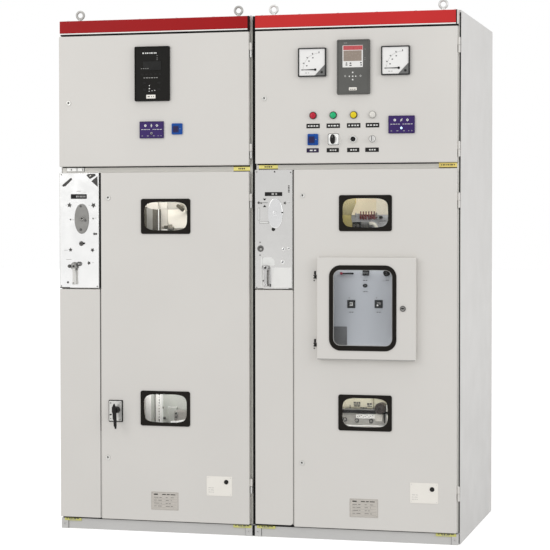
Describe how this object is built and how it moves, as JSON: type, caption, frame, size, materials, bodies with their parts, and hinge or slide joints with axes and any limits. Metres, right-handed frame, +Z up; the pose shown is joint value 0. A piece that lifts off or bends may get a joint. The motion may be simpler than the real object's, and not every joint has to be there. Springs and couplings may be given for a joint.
{
  "type": "gas insulated breaker switchgear",
  "caption": "Floor-standing metal-enclosed medium-voltage breaker cubicles, side by side, with instrument doors, hinged cable doors, viewing windows, meters, lamps and an inspection door.",
  "frame": {"origin": "centre of the overall plan box, on the floor", "axes": "+X to the viewer's right, +Y from the doors to the back, +Z up"},
  "size_m": [1.748, 0.994, 2.2531],
  "materials": {
    "body_paint": "fine-texture powder coat, warm light grey",
    "red_paint": "gloss red enamel",
    "zinc_steel": "zinc plated sheet",
    "stainless": "polished stainless sheet",
    "chrome": "chrome plate",
    "black_rubber": "matt moulded rubber",
    "black_plastic": "matt moulded plastic",
    "white_plastic": "gloss moulded plastic",
    "grey_plastic": "matt moulded plastic",
    "clear_pane": "clear polycarbonate",
    "breaker_paint": "satin blue-grey paint",
    "epoxy_red": "glossy cast resin",
    "epoxy_cream": "satin cast resin",
    "lamp_lens": "ribbed coloured lens"
  },
  "bodies": {
    "cubicles": {"plinths": "body_paint", "floor_plates": "zinc_steel", "side_walls": "body_paint", "back_panels": "body_paint", "roof_panels": "body_paint", "left_front_posts": "zinc_steel", "right_front_posts": "body_paint", "cross_rails": "zinc_steel", "instrument_floors": "zinc_steel", "instrument_back_walls": "zinc_steel", "red_bands": "red_paint", "left_mechanism_panel": "stainless", "right_mechanism_panel": "stainless", "fixed_panels": "body_paint", "lifting_eyes": "chrome", "operating_plates": "zinc_steel", "frame_hinges": "zinc_steel", "breaker_case": "breaker_paint", "breaker_shelf": "zinc_steel", "equipment_beams": "zinc_steel", "post_insulators": "epoxy_red", "current_transformers": "epoxy_cream", "inner_columns": "zinc_steel", "mounting_plates": "zinc_steel", "left_instrument_door": "body_paint", "left_panel_devices": "black_plastic", "right_instrument_door": "body_paint", "panel_meters": "white_plastic", "right_panel_devices": "grey_plastic", "indicator_lamps": "lamp_lens", "switch_bezels": "chrome"},
    "left_lower_door": {"left_lower_door": "body_paint", "left_window_frames": "black_rubber", "left_window_panes": "clear_pane", "lock_plate": "chrome"},
    "lock_handle": {"lock_handle": "black_plastic"},
    "rotary_switch_knob": {"rotary_switch_knob": "black_plastic"},
    "selector_knob": {"selector_knob": "white_plastic"},
    "push_button": {"push_button": "black_plastic"},
    "right_lower_door": {"right_lower_door": "body_paint", "right_window_frames": "black_rubber", "right_window_panes": "clear_pane"},
    "inspection_door": {"inspection_door": "body_paint", "inspection_gasket": "black_rubber", "inspection_pane": "clear_pane"},
    "left_interlock_lever": {"left_interlock_lever": "chrome"},
    "right_interlock_lever": {"right_interlock_lever": "chrome"}
  },
  "joints": [
    {"name": "left_lower_door_swing", "type": "hinge", "parent": "cubicles", "child": "left_lower_door", "pos_m": [-0.015, -0.437, 0.8], "axis": [0, 0, 1], "range_deg": [0, 100]},
    {"name": "lock_handle_turn", "type": "hinge", "parent": "left_lower_door", "child": "lock_handle", "pos_m": [-0.61, -0.467, 0.525], "axis": [0, -1, 0], "range_deg": [0, 90]},
    {"name": "rotary_switch_turn", "type": "hinge", "parent": "cubicles", "child": "rotary_switch_knob", "pos_m": [0.345, -0.462, 1.676], "axis": [0, 1, 0], "range_deg": [0, 90]},
    {"name": "selector_turn", "type": "hinge", "parent": "cubicles", "child": "selector_knob", "pos_m": [0.5095, -0.462, 1.676], "axis": [0, 1, 0], "range_deg": [0, 90]},
    {"name": "push_button_press", "type": "slide", "parent": "cubicles", "child": "push_button", "axis": [0, 1, 0], "range_m": [0, 0.004], "stiffness_N_per_m": 600, "springref_m": -0.002},
    {"name": "right_lower_door_swing", "type": "hinge", "parent": "cubicles", "child": "right_lower_door", "pos_m": [0.869, -0.437, 0.8], "axis": [0, 0, 1], "range_deg": [0, 100]},
    {"name": "inspection_door_swing", "type": "hinge", "parent": "right_lower_door", "child": "inspection_door", "pos_m": [0.269, -0.462, 0.97], "axis": [0, 0, -1], "range_deg": [0, 100]},
    {"name": "left_interlock_turn", "type": "hinge", "parent": "cubicles", "child": "left_interlock_lever", "pos_m": [-0.802, -0.459, 1.142], "axis": [0, -1, 0], "range_deg": [0, 90]},
    {"name": "right_interlock_turn", "type": "hinge", "parent": "cubicles", "child": "right_interlock_lever", "pos_m": [0.055, -0.459, 1.14], "axis": [0, -1, 0], "range_deg": [0, 90]}
  ]
}
